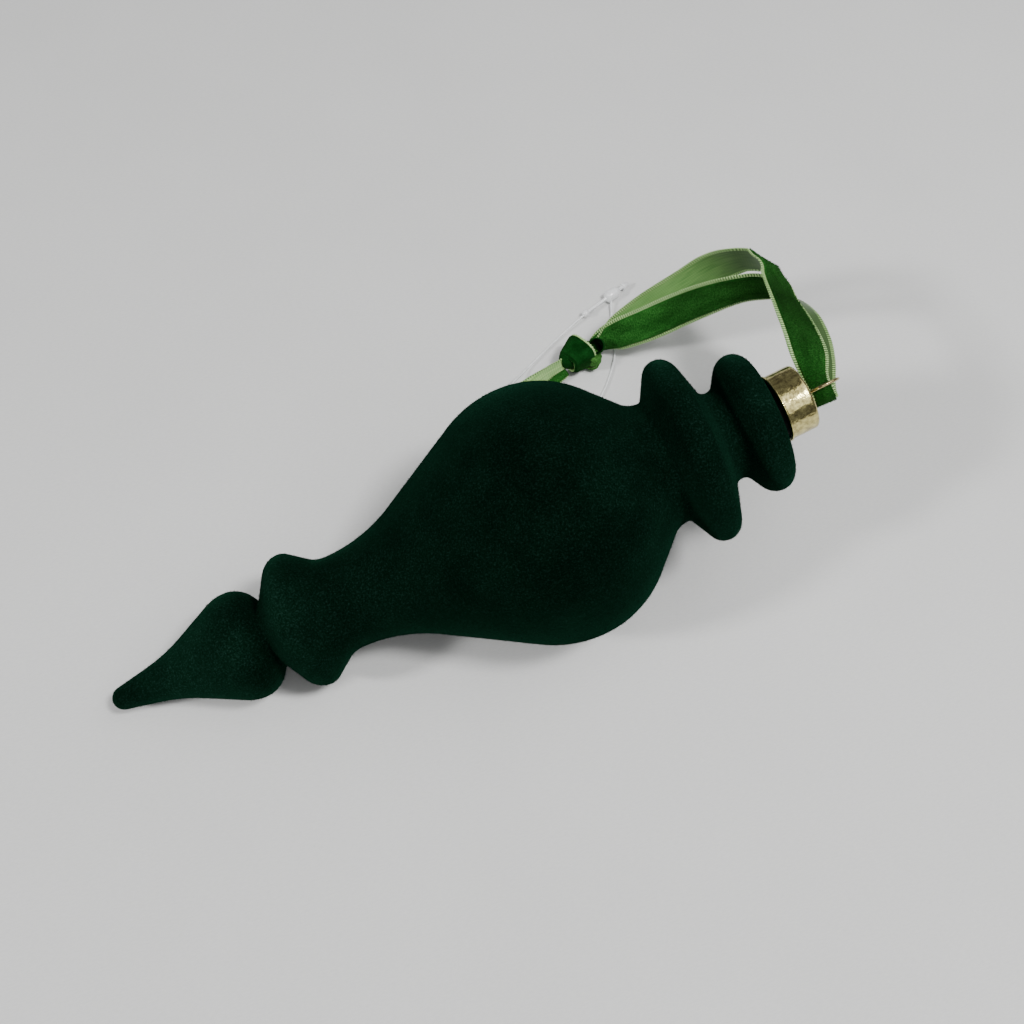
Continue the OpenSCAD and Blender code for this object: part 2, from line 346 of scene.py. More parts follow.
@dataclass(frozen=True)
class GiltFinish(Finish):
    """Plated thin metal with soft uneven reflections."""

    bright: Colour = (0.70, 0.62, 0.26)
    dull: Colour = (0.29, 0.24, 0.10)
    smooth: float = 0.09
    hazy: float = 0.24
    cell: float = 1.3 * MM
    relief: float = 0.16 * MM

    def lay_out(self, sheet: NodeSheet) -> None:
        """Add the nodes.

        Args:
            sheet: The material's sheet.
        """
        haze = sheet.mottle(self.cell, 4.0, 0.65)
        sheet.bump(sheet.mottle(self.cell / 0.9, 2.0), 0.6, self.relief)
        sheet.dress(Base_Color=sheet.ramp(haze, (0.35, self.dull), (0.6, self.bright)), Metallic=1.0,
                    Roughness=sheet.spread(haze, self.smooth, self.hazy))


@dataclass(frozen=True)
class PileFinish(Finish):
    """Cut velvet pile in soft dark and light brushed patches; a ramp along the ribbon, where one is given, adds
    painted light and shade.
    """

    deep: Colour = (0.0048, 0.042, 0.0048)
    light: Colour = (0.050, 0.248, 0.042)
    rubbed: Colour = (0.45, 0.5, 0.45)
    sheen: Colour = (0.34, 0.66, 0.28)
    sheen_weight: float = 0.14
    kind: Coordinates = Coordinates.UV
    cells: Sequence[float] = (17.0, 30.0, 1.0)
    strokes: Sequence[float] = (2.6, 0.7, 1.0)
    relief: float = 0.2 * MM
    painted_shading: Sequence[Point2] = ()
    run: float = 1.0

    def lay_out(self, sheet: NodeSheet) -> None:
        """Add the nodes.

        Args:
            sheet: The material's sheet.
        """
        grain = sheet.noise(sheet.coordinates(self.kind, self.cells), 3.0, 0.7)
        patches = sheet.noise(sheet.coordinates(self.kind, self.strokes), 2.0)
        colour = sheet.ramp(grain, (0.3, self.deep), (0.68, self.light))
        brushed = sheet.tint(colour, sheet.ramp(patches, (0.35, self.rubbed), (0.65, 1.0)))
        sheet.bump(grain, 0.6, self.relief)
        sheet.dress(Base_Color=sheet.paint_shading_along(brushed, self.painted_shading, self.run), Roughness=0.9,
                    Specular_IOR_Level=0.0, Sheen_Weight=self.sheen_weight, Sheen_Roughness=0.4,
                    Sheen_Tint=self.sheen)


@dataclass(frozen=True)
class GatheredFinish(PileFinish):
    """The pile of ribbon that is bunched up, patterned in its own space. Its own colours are a darker copy of
    the loop's pile: painted shade on the bunched knot.
    """

    deep: Colour = (0.003, 0.026, 0.003)
    light: Colour = (0.009, 0.062, 0.012)
    sheen_weight: float = 0.06
    kind: Coordinates = Coordinates.OBJECT
    cells: Sequence[float] = (3600.0,) * 3
    strokes: Sequence[float] = (260.0,) * 3


@dataclass(frozen=True)
class WovenFinish(Finish):
    """The ribbon's shiny woven ground: its selvedges and its satin back, with painted shade in the grooves
    between the ribs and, where a ramp is given, painted light and shade along the ribbon.
    """

    deep: Colour
    light: Colour
    roughness: float
    painted_groove_shade: Colour
    pitch: float
    painted_shading: Sequence[Point2] = ()
    run: float = 1.0
    streaks: Sequence[float] = (24.0, 1.4, 1.0)

    def lay_out(self, sheet: NodeSheet) -> None:
        """Add the nodes.

        Args:
            sheet: The material's sheet.
        """
        streaks = sheet.noise(sheet.coordinates(Coordinates.UV, self.streaks), 3.0)
        colour = sheet.ramp(streaks, (0.3, self.deep), (0.7, self.light))
        # Painted shade: the troughs of the weft are multiplied by the groove colour, darkening the grooves
        # between the ribs.
        ribbed = sheet.tint(colour, sheet.ramp(sheet.weft(self.pitch), (0.3, 1.0), (0.7, self.painted_groove_shade)))
        sheet.dress(Base_Color=sheet.paint_shading_along(ribbed, self.painted_shading, self.run), Roughness=self.roughness,
                    Specular_IOR_Level=0.4)


@dataclass(frozen=True)
class NylonFinish(Finish):
    """Clear moulded nylon, a little milky."""

    tone: Colour = (0.97, 0.98, 0.98)
    milkiness: float = 0.88
    roughness: float = 0.2
    clearness: float = 0.12
    cell: float = 0.8 * MM
    relief: float = 0.08 * MM

    def lay_out(self, sheet: NodeSheet) -> None:
        """Add the nodes.

        Args:
            sheet: The material's sheet.
        """
        flow = sheet.mottle(self.cell, 1.0)
        milky = tuple(self.milkiness * level for level in self.tone)
        sheet.bump(flow, 0.2, self.relief)
        sheet.dress(Base_Color=sheet.ramp(flow, (0.3, milky), (0.7, self.tone)), Roughness=self.roughness,
                    IOR=1.5, Transmission_Weight=self.clearness)


@dataclass(frozen=True)
class ShellFinish(Finish):
    """Bare dark moulded plastic with traces of the flock's glue. Its near-black tone is partly the plastic's
    own and partly painted shade under the cap's rim.
    """

    deep: Colour = (0.0018, 0.0026, 0.0024)
    light: Colour = (0.006, 0.009, 0.008)
    cell: float = 1.2 * MM
    relief: float = 0.1 * MM

    def lay_out(self, sheet: NodeSheet) -> None:
        """Add the nodes.

        Args:
            sheet: The material's sheet.
        """
        smears = sheet.mottle(self.cell, 3.0)
        sheet.bump(smears, 0.3, self.relief)
        sheet.dress(Base_Color=sheet.ramp(smears, (0.35, self.deep), (0.7, self.light)),
                    Roughness=sheet.spread(smears, 0.45, 0.8), Specular_IOR_Level=0.05)


@dataclass(frozen=True)
class FloorFinish(Finish):
    """Plain pale cloth under the ornament."""

    tone: Colour = (0.72, 0.72, 0.71)
    worn: Colour = (0.69, 0.69, 0.68)
    patch: float = 60 * MM
    thread: float = 0.4 * MM

    def lay_out(self, sheet: NodeSheet) -> None:
        """Add the nodes.

        Args:
            sheet: The material's sheet.
        """
        colour = sheet.ramp(sheet.mottle(self.patch, 4.0), (0.3, self.worn), (0.7, self.tone))
        place = sheet.coordinates(Coordinates.OBJECT, (0.3 / self.thread, 1 / self.thread, 1.0))
        threads = sheet.ramp(sheet.noise(place, 2.0), (0.3, 0.94), (0.7, 1.0))
        sheet.dress(Base_Color=sheet.tint(colour, threads), Roughness=0.9, Specular_IOR_Level=0.2)


# Shared modelling steps


def take_up(piece: Piece) -> None:
    """Select one object alone and make it the active one.

    Args:
        piece: The object.
    """
    bpy.ops.object.select_all(action="DESELECT")
    piece.select_set(True)
    bpy.context.view_layer.objects.active = piece


def give_finish(piece: Piece, *finishes: Material) -> None:
    """Put materials in a piece's slots, in order, in place of what is there.

    Args:
        piece: The object.
        finishes: The materials.
    """
    while len(piece.material_slots) < len(finishes):
        piece.data.materials.append(None)
    for slot, finish in zip(piece.material_slots, finishes):
        slot.material = finish


def seat(piece: Piece, body: Body, slot: Slot, *nodes: str) -> Piece:
    """Make a piece move with its body and stand for its solids.

    Args:
        piece: The object.
        body: The body that it moves with.
        slot: The record's material slot; not used.
        nodes: The solids that it stands for.

    Returns:
        The object.
    """
    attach(piece, body.value)
    if nodes:
        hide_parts(*nodes)
    return piece


def mesh_piece(name: str, points: np.ndarray, faces: Sequence[Sequence[int]]) -> Piece:
    """Make an object from points in metres.

    Args:
        name: Its name.
        points: The points, one a row.
        faces: The corners of each face.

    Returns:
        The object.
    """
    mesh = bpy.data.meshes.new(name)
    mesh.from_pydata([tuple(map(float, p)) for p in points], [], [tuple(map(int, f)) for f in faces])
    mesh.update()
    piece = bpy.data.objects.new(name, mesh)
    bpy.context.scene.collection.objects.link(piece)
    return piece


def face_outwards(piece: Piece) -> None:
    """Turn the faces of a closed mesh outwards and shade it smooth.

    Args:
        piece: The object.
    """
    edit = bmesh.new()
    edit.from_mesh(piece.data)
    bmesh.ops.recalc_face_normals(edit, faces=edit.faces)
    edit.to_mesh(piece.data)
    edit.free()
    take_up(piece)
    bpy.ops.object.shade_smooth()


def arc_points(centre: Point2, radius: float, start: float, stop: float, step: float) -> list[Point2]:
    """Points along an arc in a plane.

    Args:
        centre: The arc's centre.
        radius: Its radius.
        start: The first angle in degrees.
        stop: The last angle in degrees.
        step: The largest angle between two points.

    Returns:
        The points, both ends included.
    """
    count = max(1, math.ceil(abs(stop - start) / step))
    angles = [math.radians(start + (stop - start) * k / count) for k in range(count + 1)]
    return [(centre[0] + radius * math.cos(a), centre[1] + radius * math.sin(a)) for a in angles]


def smooth_rows(rows: Sequence[Sequence[float]], step: float) -> np.ndarray:
    """A smooth curve through rows of numbers, at even steps along its first three columns.

    Args:
        rows: The rows, with a place in their first three columns.
        step: The distance between two rows of the result.

    Returns:
        The rows of the curve.
    """
    table = np.array(rows, float)
    last = len(table) - 1
    fine = []
    for i in range(last):
        a, b, c, d = table[max(i - 1, 0)], table[i], table[i + 1], table[min(i + 2, last)]
        for u in np.linspace(0, 1, CURVE_STEPS, endpoint=False):
            fine.append(0.5 * (2 * b + (c - a) * u + (2 * a - 5 * b + 4 * c - d) * u * u
                               + (3 * b - a - 3 * c + d) * u ** 3))
    fine.append(table[last])
    curve = np.array(fine)
    run = np.r_[0, np.cumsum(np.linalg.norm(np.diff(curve[:, :3], axis=0), axis=1))]
    marks = np.linspace(0, run[-1], max(2, int(round(run[-1] / step)) + 1))
    return np.stack([np.interp(marks, run, column) for column in curve.T], axis=1)


def unit_rows(rows: np.ndarray) -> np.ndarray:
    """The rows at length one."""
    return rows / np.linalg.norm(rows, axis=1, keepdims=True)


def level_pair(heading: float) -> tuple[np.ndarray, np.ndarray]:
    """The level directions ahead and to the left.

    Args:
        heading: The angle of the first from +X in degrees.

    Returns:
        Both directions.
    """
    a = math.radians(heading)
    return np.array([math.cos(a), math.sin(a), 0.0]), np.array([-math.sin(a), math.cos(a), 0.0])


@dataclass(frozen=True)
class Axis:
    """A turning axis in the row frame, with lengths in millimetres."""

    start: Sequence[float]
    along: Sequence[float]
    side: Sequence[float]

    def point(self, station: float, radius: float) -> Vector:
        """The point at a station along the axis and a distance to its side, in metres."""
        return (Vector(self.start) + station * Vector(self.along) + radius * Vector(self.side)) * MM

    def turn(self, name: str, profile: Sequence[Point2], steps: int) -> Piece:
        """Spin a profile round the axis, from a single point that is drawn out along it.

        Args:
            name: The object's name.
            profile: Stations and radii in order; a profile that ends where it starts makes a closed ring.
            steps: The number of steps in a full turn.

        Returns:
            The object.
        """
        points = [self.point(*p) for p in profile]
        bpy.ops.object.select_all(action="DESELECT")
        bpy.ops.mesh.primitive_plane_add(size=MM, location=points[0])
        piece = bpy.context.object
        piece.name = piece.data.name = name
        bpy.ops.object.transform_apply(location=True, rotation=True, scale=True)
        bpy.ops.object.mode_set(mode="EDIT")
        bpy.ops.mesh.select_all(action="SELECT")
        bpy.ops.mesh.merge(type="CENTER")
        for here, there in zip(points, points[1:]):
            bpy.ops.mesh.extrude_region_move(TRANSFORM_OT_translate={"value": there - here})
        bpy.ops.mesh.select_all(action="SELECT")
        bpy.ops.mesh.spin(steps=steps, angle=math.tau, center=self.point(0, 0), axis=Vector(self.along))
        bpy.ops.mesh.select_all(action="SELECT")
        bpy.ops.mesh.remove_doubles(threshold=WELD)
        bpy.ops.mesh.normals_make_consistent(inside=False)
        bpy.ops.object.mode_set(mode="OBJECT")
        bpy.ops.object.shade_smooth()
        return piece


# Body


@dataclass(frozen=True)
class Turn:
    """One crest or groove of the turned profile: where it is, how wide, and its round before and after."""

    station: float
    radius: float
    before: float
    after: float
    crest: int

    def inset(self, depth: float) -> "Turn":
        """The same turn at a depth below the surface."""
        shift = self.crest * depth
        return Turn(self.station, self.radius - depth, self.before - shift, self.after - shift, self.crest)

    def centre(self, round_radius: float) -> Point2:
        """The centre of one of its rounds."""
        return (self.station, self.radius - self.crest * round_radius)


@dataclass
class FlockedBody:
    """The hollow turned shell in its coat of flock."""

    tip_height: float = 5.13056
    half_length: float = 88.5934
    tilt: float = 13.212
    flock_depth: float = 0.6
    turns: Sequence[Turn] = (
        Turn(2.8, 2.8, 2.8, 2.8, 1),
        Turn(2.0, 3.5, 43.0, 43.0, -1),
        Turn(33.6, 12.9, 9.5, 6.2, 1),
        Turn(40.6, 8.2, 1.0, 1.0, -1),
        Turn(48.8, 16.1, 4.6, 2.8, 1),
        Turn(58.8, 11.2, 7.5, 37.0, -1),
        Turn(109.8, 30.3, 27.5, 25.0, 1),
        Turn(138.0, 14.5, 5.5, 1.2, -1),
        Turn(144.9, 22.0, 3.6, 3.7, 1),
        Turn(153.0, 10.5, 2.3, 2.5, -1),
        Turn(160.4, 16.5, 4.1, 3.6, 1),
        Turn(165.2, 6.6, 1.0, 1.0, -1),
    )
    around: int = 188
    round_step: float = 3.0
    inner_step: float = 12.0
    cap_top: float = 173.164
    cap_shift: float = 1.25
    cap_lean: float = 3.0
    fibre_count: int = 46000
    fibre_length: float = 0.36
    fibre_width: float = 0.05
    fibre_lean: float = 0.33
    place_seed: int = 7
    lean_seed: int = 11

    @property
    def axis(self) -> Axis:
        """The ornament's own axis as it lies."""
        t = math.radians(self.tilt)
        return Axis((-self.half_length, 0, self.tip_height), (math.cos(t), 0, math.sin(t)), (0, 1, 0))

    @property
    def cap_axis(self) -> Axis:
        """The axis of the cap, which sits loosely, a little off the neck's middle.

        Returns:
            An axis that starts at the middle of the cap's top.
        """
        along, side = Vector(self.axis.along), Vector(self.axis.side)
        start = Vector(self.axis.start) + self.cap_top * along + self.cap_shift * side
        a = math.radians(self.cap_lean)
        return Axis(start, math.cos(a) * along + math.sin(a) * side, math.cos(a) * side - math.sin(a) * along)

    def profile(self, depth: float, step: float) -> list[Point2]:
        """The outline at a depth below the surface.

        Args:
            depth: The depth.
            step: The largest angle between two points of a round.

        Returns:
            Stations and radii from the point to the neck.
        """
        turns = [t.inset(depth) for t in self.turns]
        flanks = []
        for one, other in zip(turns, turns[1:]):
            a, b = one.centre(one.after), other.centre(other.before)
            lean = math.degrees(math.acos((one.after + other.before) / math.dist(a, b)))
            flanks.append(math.degrees(math.atan2(b[1] - a[1], b[0] - a[0])) + one.crest * lean)
        outline: list[Point2] = []
        for i, t in enumerate(turns):
            start = 180.0 if i == 0 else flanks[i - 1] + 180 * t.crest
            stop = -90.0 if i == len(turns) - 1 else flanks[i]
            if t.before == t.after:
                outline += arc_points(t.centre(t.before), t.before, start, stop, step)
            else:
                outline += arc_points(t.centre(t.before), t.before, start, 90 * t.crest, step)
                outline += arc_points(t.centre(t.after), t.after, 90 * t.crest, stop, step)[1:]
        return outline

    def surface_samples(self) -> tuple[np.ndarray, np.ndarray]:
        """Even random places on the flock.

        Returns:
            The places and the outward directions there, in millimetres.
        """
        draw = np.random.default_rng(self.place_seed)
        count = self.fibre_count
        line = np.array(self.profile(0.0, self.round_step))
        span = np.diff(line, axis=0)
        area = np.linalg.norm(span, axis=1) * (line[1:, 1] + line[:-1, 1])
        pick = draw.choice(len(span), count, p=area / area.sum())
        share = draw.random(count)
        place = line[pick] + span[pick] * share[:, None]
        normal = unit_rows(np.stack([-span[pick, 1], span[pick, 0]], axis=1))
        angle = draw.random(count) * math.tau
        along = np.array(self.axis.along)
        side = np.array(self.axis.side, float)
        third = np.cross(along, side)
        radial = np.cos(angle)[:, None] * side + np.sin(angle)[:, None] * third
        start = np.array(self.axis.start)
        points = start + place[:, :1] * along + place[:, 1:] * radial
        outward = normal[:, :1] * along + normal[:, 1:] * radial
        clear = points[:, 2] > 2 * self.fibre_length
        return points[clear], outward[clear]

    def mark_stations(self, piece: Piece) -> None:
        """Store on a mesh how far along the axis each point is, from 0 at the tip to 1 at the neck.

        Args:
            piece: The object.
        """
        places = np.empty(len(piece.data.vertices) * 3)
        piece.data.vertices.foreach_get("co", places)
        stations = (places.reshape(-1, 3) / MM - np.array(self.axis.start)) @ np.array(self.axis.along)
        marks = piece.data.attributes.new(STATION, "FLOAT", "POINT")
        marks.data.foreach_set("value", stations / self.turns[-1].station)

    def build(self) -> list[Piece]:
        """Make the coat and its loose fibres, and finish the shell's own solid.

        Returns:
            The pieces.
        """
        finish = FlockFinish().build("flock")
        outer = self.profile(0.0, self.round_step)
        inner = self.profile(self.flock_depth, self.inner_step)
        outer[0] = (0.0, 0.0)
        inner[0] = (self.flock_depth, 0.0)
        coat = self.axis.turn("flock_body", outer + inner[::-1], self.around)
        nap = fibres("flock_nap", *self.surface_samples(), self.fibre_length, self.fibre_width,
                     self.fibre_lean, self.lean_seed)
        for piece in (coat, nap):
            give_finish(piece, finish)
            self.mark_stations(piece)
        seat(coat, Body.ORNAMENT, Slot.FLOCK, "flock_coat")
        seat(nap, Body.ORNAMENT, Slot.FLOCK)
        give_finish(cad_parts["blown_shell"], ShellFinish().build("bare_shell"))
        return [coat, nap]


def fibres(name: str, roots: np.ndarray, outward: np.ndarray, length: float, width: float, lean: float,
           seed: int) -> Piece:
    """Slender closed spikes standing on a surface.

    Args:
        name: The object's name.
        roots: Their places in millimetres.
        outward: The surface's directions there.
        length: A length in millimetres; each is cut to between a half and 1.1 of it.
        width: Their width at the root in millimetres.
        lean: How far they lean at random.
        seed: The seed of the draw.

    Returns:
        The object.
    """
    draw = np.random.default_rng(seed)
    count = len(roots)
    stand = unit_rows(outward + lean * draw.normal(size=(count, 3)))
    flat = unit_rows(np.cross(stand, draw.normal(size=(count, 3))))
    third = np.cross(stand, flat)
    sunk = roots - outward * ROOT_DEPTH
    tips = roots + stand * (length * (SHORTEST_FIBRE + FIBRE_SPREAD * draw.random(count)))[:, None]
    corners = [sunk + width * (math.cos(a) * flat + math.sin(a) * third)
               for a in (0.0, math.tau / 3, 2 * math.tau / 3)]
    points = np.stack([*corners, tips], axis=1).reshape(-1, 3) * MM
    pattern = np.array([[0, 2, 1], [0, 1, 3], [1, 2, 3], [2, 0, 3]])
    faces = (np.arange(count)[:, None, None] * 4 + pattern).reshape(-1, 3)
    return mesh_piece(name, points, faces)


# Cap and wire eye


@dataclass
class SprungCap:
    """The sheet cap on the neck and the spring wire whose eye holds the ribbon."""

    axis: Axis
    height: float = 7.1
    sheet: float = 0.35
    bore: float = 7.4
    edge_round: float = 0.9
    rim_round: float = 0.3
    hole: float = 1.0
    wire: float = 0.35
    eye: float = 3.8
    eye_rise: float = 4.7
    eye_roll: float = 25.0
    leg_offset: float = 0.42
    pinch: float = 0.9
    hole_run: float = 0.6
    leg_bend: float = 1.2
    leg_spread: float = 15.0
    leg_length: float = 9.0
    around: int = 128
    crease: float = 40.0
    wire_bevel: int = 6

    def build_cap(self, finish: Material) -> Piece:
        """Spin the cap's section, with its rolled rim.

        Args:
            finish: The material.

        Returns:
            The cap.
        """
        wall = self.bore + self.sheet
        edge = (self.edge_round, wall - self.edge_round)
        rim = (self.height - self.rim_round, wall)
        section = [(0.0, self.hole)]
        section += arc_points(edge, self.edge_round, 180, 90, 10)
        section += arc_points(rim, self.rim_round, 180, 0, 20)
        section += [(self.height, self.bore)]
        section += arc_points(edge, self.edge_round - self.sheet, 90, 180, 15)
        section += [(self.sheet, self.hole), (0.0, self.hole)]
        cap = self.axis.turn("gilt_cap", [(-s, r) for s, r in section], self.around)
        bpy.ops.object.shade_smooth_by_angle(angle=math.radians(self.crease))
        give_finish(cap, finish)
        return seat(cap, Body.CAP, Slot.CAP, "hanger_cap")

    def wire_line(self) -> list[Point2]:
        """Work out the wire's course in its own plane.

        Returns:
            Points from one leg's end over the eye to the other's.
        """
        pinch_x = self.leg_offset + self.pinch
        pinch_z = self.eye_rise - math.sqrt((self.eye + self.pinch) ** 2 - pinch_x ** 2)
        lean = math.degrees(math.atan2(pinch_z - self.eye_rise, pinch_x))
        bend = (self.leg_offset + self.leg_bend, -self.hole_run)
        spread = math.radians(self.leg_spread)
        half = arc_points((0.0, self.eye_rise), self.eye, 90, lean, 8)
        half += arc_points((pinch_x, pinch_z), self.pinch, lean + 180, 180, 15)[1:]
        half += arc_points(bend, self.leg_bend, 180, 180 + self.leg_spread, 8)
        end = half[-1]
        foot = (end[0] + self.leg_length * math.sin(spread), end[1] - self.leg_length * math.cos(spread))
        half.append(foot)
        return [(-x, z) for x, z in half[:0:-1]] + half

    def build_wire(self, finish: Material) -> Piece:
        """Draw the wire along its course.

        Args:
            finish: The material.

        Returns:
            The wire.
        """
        along = Vector(self.axis.along)
        side = Vector(self.axis.side)
        down = side.cross(along)
        roll = math.radians(self.eye_roll)
        lateral = math.cos(roll) * down + math.sin(roll) * side
        root = self.axis.point(0, 0)
        course = [root + (x * lateral + z * along) * MM for x, z in self.wire_line()]
        wire = tube("gilt_wire", course, self.wire * MM, self.wire_bevel)
        give_finish(wire, finish)
        return seat(wire, Body.HANGER, Slot.WIRE, "hanger_wire")

    def build(self) -> list[Piece]:
        """Make both pieces.

        Returns:
            The cap and the wire.
        """
        wire_finish = GiltFinish(bright=(0.60, 0.50, 0.25), dull=(0.30, 0.24, 0.11), cell=0.7 * MM)
        return [
            self.build_cap(GiltFinish().build("gilt_sheet")),
            self.build_wire(wire_finish.build("gilt_wire")),
        ]


def tube(name: str, course: Sequence[Sequence[float]], radius: float, resolution: int) -> Piece:
    """A round tube along points in metres, as a mesh.

    Args:
        name: The object's name.
        course: The points.
        radius: The tube's radius.
        resolution: The bevel's resolution.

    Returns:
        The object.
    """
    bpy.ops.object.select_all(action="DESELECT")
    bpy.ops.curve.primitive_nurbs_path_add()
    piece = bpy.context.object
    piece.name = piece.data.name = name
    piece.data.splines.clear()
    spline = piece.data.splines.new("POLY")
    spline.points.add(len(course) - 1)
    for point, place in zip(spline.points, course):
        point.co = (*place, 1.0)
    piece.data.bevel_depth = radius
    piece.data.bevel_resolution = resolution
    piece.data.use_fill_caps = True
    bpy.ops.object.convert(target="MESH")
    piece = bpy.context.object
    face_outwards(piece)
    return piece


# Ribbon


@dataclass(frozen=True)
class RibbonCloth:
    """The ribbon's section: a cut pile between ribbed selvedges, on a satin ground."""

    width: float = 9.5
    selvedge: float = 0.9
    rib_pitch: float = 0.66
    rib_height: float = 0.12
    rib_reach: float = 0.10
    ring_step: float = 0.165
    roll_radius: float = 1.9
    pile_root: float = 0.33
    sample_step: float = 0.2
    tucked: bool = False

    def section(self, share: float, rib: float) -> list[tuple[float, float, Zone]]:
        """The corners of the section, with the zone of the face that follows each.

        Args:
            share: The width as a share of the flat ribbon's.
            rib: The rib's height here, from -1 to 1.

        Returns:
            Places across and through the ribbon in millimetres, and zones.
        """
        half = self.width * share / 2
        edge = self.selvedge * share
        bead = self.rib_height * rib
        reach = self.rib_reach * rib
        first = Zone.PILE if self.tucked else Zone.SELVEDGE
        top = [
            (half + reach, -0.26, first),
            (half - 0.10 * edge + reach, -0.12 + 0.7 * bead, first),
            (half - 0.50 * edge, -0.06 + bead, first),
            (half - 0.92 * edge, -0.12 + 0.5 * bead, first),
            (half - 1.02 * edge, -0.05, Zone.PILE),
            (half - 1.10 * edge, 0.24, Zone.PILE),
            (half - 1.45 * edge, 0.36, Zone.PILE),
            (0.45 * half, 0.40, Zone.PILE),
        ]
        far = [(-a, h) for a, h, _ in reversed(top)]
        zones = [Zone.PILE] * 3 + [Zone.SELVEDGE] * 5
        middle = [(0.0, 0.38, Zone.PILE)]
        under = [
            (-half + 0.10 * edge - reach, -0.38 - 0.3 * bead, Zone.SELVEDGE),
            (-half + 0.55 * edge, -0.42 - 0.5 * bead, Zone.SELVEDGE),
            (-half + 1.05 * edge, -0.38, Zone.SATIN),
            (-0.45 * half, -0.36, Zone.SATIN),
            (0.45 * half, -0.36, Zone.SATIN),
            (half - 1.05 * edge, -0.38, Zone.SELVEDGE),
            (half - 0.55 * edge, -0.42 - 0.5 * bead, Zone.SELVEDGE),
            (half - 0.10 * edge + reach, -0.38 - 0.3 * bead, Zone.SELVEDGE),
        ]
        return top + middle + [(a, h, z) for (a, h), z in zip(far, zones)] + under

    def curls(self, count: int, step: float, rolled: float) -> np.ndarray:
        """How tightly the band is rolled up, pile outwards, where it leaves a knot.

        Args:
            count: The number of places along it.
            step: The distance between them in millimetres.
            rolled: The length over which its first end opens out flat.

        Returns:
            The curvature across the band at each place.
        """
        run = np.arange(count) * step
        return -np.clip(1 - run / max(rolled, step), 0, 1) ** 1.5 / self.roll_radius - 1e-6

    def frames(self, stations: Sequence[Sequence[float]], step: float) -> tuple[np.ndarray, ...]:
        """Even places along a band with their directions.

        Args:
            stations: Rows of place, direction across and share of the width.
            step: The distance between two places in millimetres.

        Returns:
            Places, directions across, directions out of the pile, and shares.
        """
        rows = smooth_rows(stations, step)
        place = rows[:, :3]
        along = unit_rows(np.gradient(place, axis=0))
        across = rows[:, 3:6] - along * (rows[:, 3:6] * along).sum(1, keepdims=True)
        across = unit_rows(across)
        return place, across, np.cross(along, across), rows[:, 6]

    def band(self, name: str, stations: Sequence[Sequence[float]], rolled: float = 0.0) -> Piece:
        """Weave one stretch of ribbon along its stations.

        Args:
            name: The object's name.
            stations: Rows of place, direction across and share of the width.
            rolled: The length over which its first end opens out from a roll.

        Returns:
            The object, with a UV map across and along the ribbon.
        """
        place, across, out, share = self.frames(stations, self.ring_step)
        count = len(place)
        run = np.arange(count) * self.ring_step
        ribs = np.cos(math.tau * run / self.rib_pitch)
        sections = [self.section(s, r) for s, r in zip(share, ribs)]
        sides = len(sections[0])
        flat = np.array([[corner[:2] for corner in section] for section in sections])
        curl = self.curls(count, self.ring_step, rolled)[:, None]
        arm = 1 / curl - flat[:, :, 1]
        beside = arm * np.sin(curl * flat[:, :, 0])
        above = 1 / curl - arm * np.cos(curl * flat[:, :, 0])
        points = place[:, None] + beside[:, :, None] * across[:, None] + above[:, :, None] * out[:, None]
        points = points.reshape(-1, 3) * MM
        corners = [(k, (k + 1) % sides) for k in range(sides)]
        faces = [[i * sides + k, i * sides + n, (i + 1) * sides + n, (i + 1) * sides + k]
                 for i in range(count - 1) for k, n in corners]
        zones = [section[k][2].value for section in sections[:-1] for k in range(sides)]
        ends = [list(range(sides)), list(range((count - 1) * sides, count * sides))]
        piece = mesh_piece(name, points, faces + ends)
        piece.data.polygons.foreach_set("material_index", zones + [Zone.PILE.value] * 2)
        sheet = piece.data.uv_layers.new(name="weave")
        for corner, loop in zip(sheet.data, piece.data.loops):
            i, k = divmod(loop.vertex_index, sides)
            corner.uv = (sections[i][k][0] / self.width + 0.5, run[i] / self.width)
        face_outwards(piece)
        return piece

    def pile_samples(self, stations: Sequence[Sequence[float]], rolled: float, count: int,
                     seed: int) -> tuple[np.ndarray, np.ndarray]:
        """Random places on the flat part of the pile.

        Args:
            stations: Rows of place, direction across and share of the width.
            rolled: The length at its first end that is rolled up.
            count: The number of places.
            seed: The seed of the draw.

        Returns:
            The places and the directions out of the pile.
        """
        draw = np.random.default_rng(seed)
        place, across, out, share = self.frames(stations, self.sample_step)
        skip = int(rolled / self.sample_step)
        pick = draw.integers(skip, len(place), count)
        offset = (draw.random(count) - 0.5) * (self.width - 2.1 * self.selvedge) * share[pick]
        roots = place[pick] + offset[:, None] * across[pick] + self.pile_root * out[pick]
        lean = 0.5 * np.sign(offset) * (np.abs(offset) / (self.width / 2)) ** 4
        return roots, unit_rows(out[pick] + lean[:, None] * across[pick])


